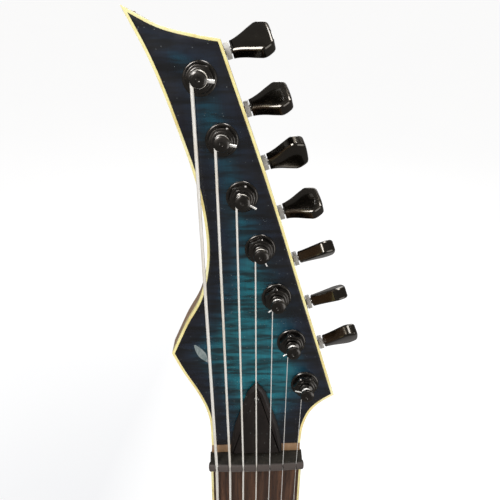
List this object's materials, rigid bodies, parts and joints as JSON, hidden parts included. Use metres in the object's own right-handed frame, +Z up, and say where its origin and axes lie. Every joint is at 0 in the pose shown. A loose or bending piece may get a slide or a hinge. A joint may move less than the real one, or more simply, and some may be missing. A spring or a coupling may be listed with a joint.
{
  "type": "electric guitar",
  "caption": "Solid-body electric guitar: reversed in-line pointed headstock, bolt-on neck, fixed bridge, humbucking pickups, tuners and controls that move.",
  "frame": {"origin": "centre line of the nut's front face, at the fingerboard's playing surface: the neck there lies in the hanger's yoke", "axes": "+Z up the neck to the headstock, -Y out of the playing side, +X to the treble side"},
  "size_m": [0.3198, 0.0908, 1.0534],
  "materials": {
    "stained_maple": "flamed maple under a gloss teal to blue-black burst",
    "body_wood": "dark brown stained wood under gloss lacquer",
    "neck_wood": "satin maple",
    "rosewood": "oiled open-grained rosewood",
    "graphite": "satin graphite-filled plastic",
    "black_metal": "gloss black plated metal",
    "steel": "satin steel",
    "string_steel": "nickel wound and plain steel wire",
    "chrome": "polished plating",
    "black_plastic": "polished black plastic",
    "pickup_plastic": "satin black plastic",
    "cream_plastic": "cream binding under lacquer",
    "white_plastic": "white washer plastic"
  },
  "bodies": {
    "guitar": {"body": "body_wood", "maple_top": "stained_maple", "neck": "neck_wood", "headstock_veneer": "stained_maple", "fingerboard": "rosewood", "nut": "graphite", "truss_rod": "steel", "truss_rod_cover": "black_plastic", "neck_plate": "black_metal", "bridge_plate": "black_metal", "neck_pickup_ring": "black_plastic", "bridge_pickup_ring": "black_plastic", "volume_pot": "steel", "tone_pot": "steel", "switch_body": "black_metal", "output_jack": "black_metal", "control_cover": "black_plastic", "strap_button_upper": "black_metal", "strap_button_lower": "black_metal", "tuner_housing_1": "black_metal", "string_1": "string_steel", "tuner_housing_2": "black_metal", "string_2": "string_steel", "tuner_housing_3": "black_metal", "string_3": "string_steel", "tuner_housing_4": "black_metal", "string_4": "string_steel", "tuner_housing_5": "black_metal", "string_5": "string_steel", "tuner_housing_6": "black_metal", "string_6": "string_steel", "tuner_housing_7": "black_metal", "string_7": "string_steel"},
    "tuner_button_1": {"tuner_button_1": "black_metal"},
    "tuner_button_2": {"tuner_button_2": "black_metal"},
    "tuner_button_3": {"tuner_button_3": "black_metal"},
    "tuner_button_4": {"tuner_button_4": "black_metal"},
    "tuner_button_5": {"tuner_button_5": "black_metal"},
    "tuner_button_6": {"tuner_button_6": "black_metal"},
    "tuner_button_7": {"tuner_button_7": "black_metal"},
    "tuner_post_1": {"tuner_post_1": "black_metal"},
    "tuner_post_2": {"tuner_post_2": "black_metal"},
    "tuner_post_3": {"tuner_post_3": "black_metal"},
    "tuner_post_4": {"tuner_post_4": "black_metal"},
    "tuner_post_5": {"tuner_post_5": "black_metal"},
    "tuner_post_6": {"tuner_post_6": "black_metal"},
    "tuner_post_7": {"tuner_post_7": "black_metal"},
    "saddle_1": {"saddle_1": "steel"},
    "saddle_2": {"saddle_2": "steel"},
    "saddle_3": {"saddle_3": "steel"},
    "saddle_4": {"saddle_4": "steel"},
    "saddle_5": {"saddle_5": "steel"},
    "saddle_6": {"saddle_6": "steel"},
    "saddle_7": {"saddle_7": "steel"},
    "neck_pickup": {"neck_pickup": "pickup_plastic"},
    "bridge_pickup": {"bridge_pickup": "pickup_plastic"},
    "volume_knob": {"volume_knob": "black_metal"},
    "tone_knob": {"tone_knob": "black_metal"},
    "switch_lever": {"switch_lever": "chrome"},
    "truss_rod_nut": {"truss_rod_nut": "steel"}
  },
  "joints": [
    {"name": "button_spin_1", "type": "hinge", "parent": "guitar", "child": "tuner_button_1", "pos_m": [-0.02457, 0.06658, 0.19231], "axis": [0.9514, 0.064, 0.3012], "continuous": true},
    {"name": "post_spin_1", "type": "hinge", "parent": "guitar", "child": "tuner_post_1", "pos_m": [-0.0226, 0.04399, 0.19088], "axis": [0, -0.9781, 0.2079], "continuous": true},
    {"name": "button_spin_2", "type": "hinge", "parent": "guitar", "child": "tuner_button_2", "pos_m": [-0.01635, 0.0616, 0.16887], "axis": [0.9514, 0.064, 0.3012], "continuous": true},
    {"name": "post_spin_2", "type": "hinge", "parent": "guitar", "child": "tuner_post_2", "pos_m": [-0.01438, 0.03901, 0.16745], "axis": [0, -0.9781, 0.2079], "continuous": true},
    {"name": "button_spin_3", "type": "hinge", "parent": "guitar", "child": "tuner_button_3", "pos_m": [-0.00829, 0.05661, 0.14538], "axis": [0.9514, 0.064, 0.3012], "continuous": true},
    {"name": "post_spin_3", "type": "hinge", "parent": "guitar", "child": "tuner_post_3", "pos_m": [-0.00632, 0.03402, 0.14395], "axis": [0, -0.9781, 0.2079], "continuous": true},
    {"name": "button_spin_4", "type": "hinge", "parent": "guitar", "child": "tuner_button_4", "pos_m": [-0.00041, 0.0516, 0.12183], "axis": [0.9514, 0.064, 0.3012], "continuous": true},
    {"name": "post_spin_4", "type": "hinge", "parent": "guitar", "child": "tuner_post_4", "pos_m": [0.00156, 0.02901, 0.1204], "axis": [0, -0.9781, 0.2079], "continuous": true},
    {"name": "button_spin_5", "type": "hinge", "parent": "guitar", "child": "tuner_button_5", "pos_m": [0.00731, 0.04659, 0.09823], "axis": [0.9514, 0.064, 0.3012], "continuous": true},
    {"name": "post_spin_5", "type": "hinge", "parent": "guitar", "child": "tuner_post_5", "pos_m": [0.00928, 0.024, 0.09681], "axis": [0, -0.9781, 0.2079], "continuous": true},
    {"name": "button_spin_6", "type": "hinge", "parent": "guitar", "child": "tuner_button_6", "pos_m": [0.01485, 0.04156, 0.07458], "axis": [0.9514, 0.064, 0.3012], "continuous": true},
    {"name": "post_spin_6", "type": "hinge", "parent": "guitar", "child": "tuner_post_6", "pos_m": [0.01682, 0.01897, 0.07315], "axis": [0, -0.9781, 0.2079], "continuous": true},
    {"name": "button_spin_7", "type": "hinge", "parent": "guitar", "child": "tuner_button_7", "pos_m": [0.02223, 0.03652, 0.05087], "axis": [0.9514, 0.064, 0.3012], "continuous": true},
    {"name": "post_spin_7", "type": "hinge", "parent": "guitar", "child": "tuner_post_7", "pos_m": [0.0242, 0.01393, 0.04944], "axis": [0, -0.9781, 0.2079], "continuous": true},
    {"name": "saddle_slide_1", "type": "slide", "parent": "guitar", "child": "saddle_1", "axis": [0, 0, 1], "range_m": [-0.0035, 0.0035]},
    {"name": "saddle_slide_2", "type": "slide", "parent": "guitar", "child": "saddle_2", "axis": [0, 0, 1], "range_m": [-0.0035, 0.0035]},
    {"name": "saddle_slide_3", "type": "slide", "parent": "guitar", "child": "saddle_3", "axis": [0, 0, 1], "range_m": [-0.0035, 0.0035]},
    {"name": "saddle_slide_4", "type": "slide", "parent": "guitar", "child": "saddle_4", "axis": [0, 0, 1], "range_m": [-0.0035, 0.0035]},
    {"name": "saddle_slide_5", "type": "slide", "parent": "guitar", "child": "saddle_5", "axis": [0, 0, 1], "range_m": [-0.0035, 0.0035]},
    {"name": "saddle_slide_6", "type": "slide", "parent": "guitar", "child": "saddle_6", "axis": [0, 0, 1], "range_m": [-0.0035, 0.0035]},
    {"name": "saddle_slide_7", "type": "slide", "parent": "guitar", "child": "saddle_7", "axis": [0, 0, 1], "range_m": [-0.0035, 0.0035]},
    {"name": "neck_pickup_height", "type": "slide", "parent": "guitar", "child": "neck_pickup", "axis": [0, -1, 0], "range_m": [-0.003, 0.0015]},
    {"name": "bridge_pickup_height", "type": "slide", "parent": "guitar", "child": "bridge_pickup", "axis": [0, -1, 0], "range_m": [-0.003, 0.0015]},
    {"name": "volume_turn", "type": "hinge", "parent": "guitar", "child": "volume_knob", "pos_m": [0.078, 0, -0.676], "axis": [0, -1, 0], "range_deg": [-150, 150]},
    {"name": "tone_turn", "type": "hinge", "parent": "guitar", "child": "tone_knob", "pos_m": [0.112, 0, -0.704], "axis": [0, -1, 0], "range_deg": [-150, 150]},
    {"name": "switch_rock", "type": "hinge", "parent": "guitar", "child": "switch_lever", "pos_m": [0.112, 0.014, -0.657], "axis": [1, 0, 0], "range_deg": [-12, 12]},
    {"name": "truss_rod_turn", "type": "hinge", "parent": "guitar", "child": "truss_rod_nut", "pos_m": [0, 0.0126, 0.021], "axis": [0, 0, 1], "range_deg": [-180, 180]}
  ],
  "couplings": [
    {"joint": "post_spin_1", "follows": "button_spin_1", "ratio": -0.071429},
    {"joint": "post_spin_2", "follows": "button_spin_2", "ratio": -0.071429},
    {"joint": "post_spin_3", "follows": "button_spin_3", "ratio": -0.071429},
    {"joint": "post_spin_4", "follows": "button_spin_4", "ratio": -0.071429},
    {"joint": "post_spin_5", "follows": "button_spin_5", "ratio": -0.071429},
    {"joint": "post_spin_6", "follows": "button_spin_6", "ratio": -0.071429},
    {"joint": "post_spin_7", "follows": "button_spin_7", "ratio": -0.071429}
  ]
}
